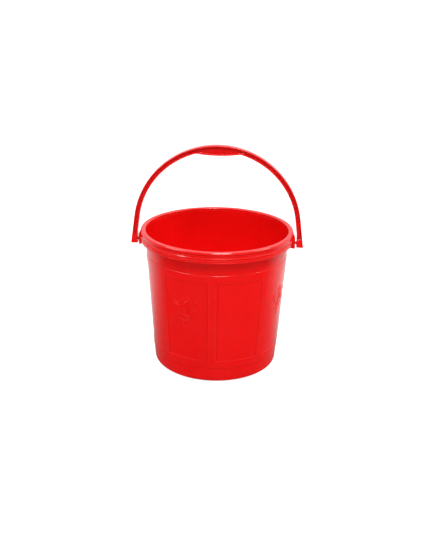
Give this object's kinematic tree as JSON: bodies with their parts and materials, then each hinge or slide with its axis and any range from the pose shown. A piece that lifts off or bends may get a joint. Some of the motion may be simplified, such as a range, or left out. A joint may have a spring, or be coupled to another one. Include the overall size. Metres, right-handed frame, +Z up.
{
  "type": "bucket with bail handle",
  "caption": "Tapered round moulded bucket with a stepped skirted rim, side ears, a raised panel frame and an arched bail handle that swings on studs.",
  "frame": {"origin": "centre of the base, on the surface the bucket stands on", "axes": "+Z up along the bucket's axis, X through both handle pivots, -Y towards the front of the bucket"},
  "size_m": [0.3396, 0.3, 0.437],
  "materials": {
    "body_plastic": "moulded gloss, fine flow marks",
    "handle_plastic": "moulded gloss, slightly worn on the grip"
  },
  "bodies": {
    "bucket": {"bucket_body": "body_plastic"},
    "bail": {"handle": "handle_plastic"}
  },
  "joints": [
    {"name": "handle_swing", "type": "hinge", "parent": "bucket", "child": "bail", "pos_m": [0, 0, 0.2484], "axis": [1, 0, 0], "range_deg": [-124, 124]}
  ]
}
